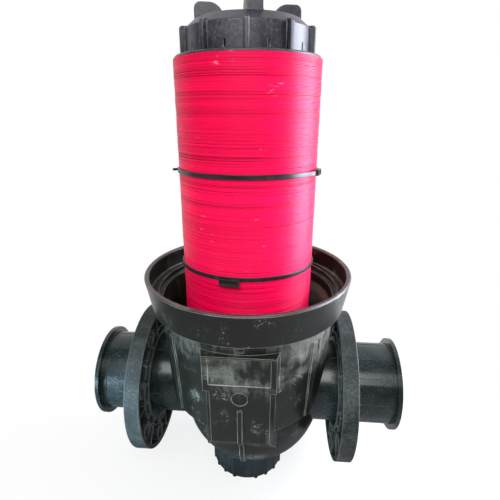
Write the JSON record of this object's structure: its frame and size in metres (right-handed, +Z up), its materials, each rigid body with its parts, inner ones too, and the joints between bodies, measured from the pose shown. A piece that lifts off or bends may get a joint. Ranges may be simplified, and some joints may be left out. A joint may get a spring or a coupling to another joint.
{
  "type": "irrigation disc filter",
  "caption": "Opened in-line disc filter for irrigation water: moulded bowl with lipped pipe spigots, loose flanges and drain cap, and a lift-out stack of grooved discs under a lugged screw cap.",
  "frame": {"origin": "centre of the drain cap's flat base, on the floor under the bowl's axis", "axes": "+Z up along the bowl's axis, +X along the port axis towards the outlet, -Y out of the front panel"},
  "size_m": [0.428, 0.28, 0.646],
  "materials": {
    "bowl_plastic": "moulded reinforced polyamide, dusty",
    "spigot_plastic": "smooth glossy moulded polypropylene",
    "flange_plastic": "grained moulded polypropylene, dusty",
    "drain_cap_plastic": "satin moulded polypropylene",
    "disc_plastic": "crimson polypropylene discs, fine edges",
    "wing_cap_plastic": "satin moulded polyamide",
    "spine_plastic": "moulded polyamide",
    "seal_rubber": "moulded rubber",
    "tie_nylon": "black nylon strap"
  },
  "bodies": {
    "housing": {"body": "bowl_plastic", "cover_seal": "seal_rubber", "left_spigot": "spigot_plastic", "right_spigot": "spigot_plastic", "left_spigot_seal": "seal_rubber", "right_spigot_seal": "seal_rubber"},
    "left_flange": {"left_flange": "flange_plastic"},
    "right_flange": {"right_flange": "flange_plastic"},
    "drain_gasket": {"bottom_cap_gasket": "seal_rubber"},
    "drain_cap": {"bottom_cap": "drain_cap_plastic"},
    "cartridge": {"disc_spine": "spine_plastic", "spine_base_seal": "seal_rubber", "filter_discs": "disc_plastic", "cap_seal": "seal_rubber", "upper_tie": "tie_nylon", "lower_tie": "tie_nylon"},
    "pressure_ring": {"pressure_ring": "wing_cap_plastic"},
    "wing_cap": {"wing_cap": "wing_cap_plastic"}
  },
  "joints": [
    {"name": "cartridge_lift", "type": "slide", "parent": "housing", "child": "cartridge", "axis": [0, 0, 1], "range_m": [0, 0.15]},
    {"name": "pressure_ring_rise", "type": "slide", "parent": "cartridge", "child": "pressure_ring", "axis": [0, 0, 1], "range_m": [0, 0.016]},
    {"name": "wing_cap_turn", "type": "hinge", "parent": "pressure_ring", "child": "wing_cap", "pos_m": [0, 0, 0.6], "axis": [0, 0, 1], "range_deg": [0, 1440]},
    {"name": "drain_gasket_drop", "type": "slide", "parent": "housing", "child": "drain_gasket", "axis": [0, 0, -1], "range_m": [0, 0.018]},
    {"name": "drain_cap_turn", "type": "hinge", "parent": "drain_gasket", "child": "drain_cap", "pos_m": [0, 0, 0.02], "axis": [0, 0, -1], "range_deg": [0, 1080]},
    {"name": "left_flange_slide", "type": "slide", "parent": "housing", "child": "left_flange", "axis": [-1, 0, 0], "range_m": [-0.013, 0.053]},
    {"name": "right_flange_slide", "type": "slide", "parent": "housing", "child": "right_flange", "axis": [1, 0, 0], "range_m": [-0.007, 0.059]}
  ],
  "couplings": [
    {"joint": "pressure_ring_rise", "follows": "wing_cap_turn", "m_per_rad": 0.0006366},
    {"joint": "drain_gasket_drop", "follows": "drain_cap_turn", "m_per_rad": 0.0009549}
  ]
}
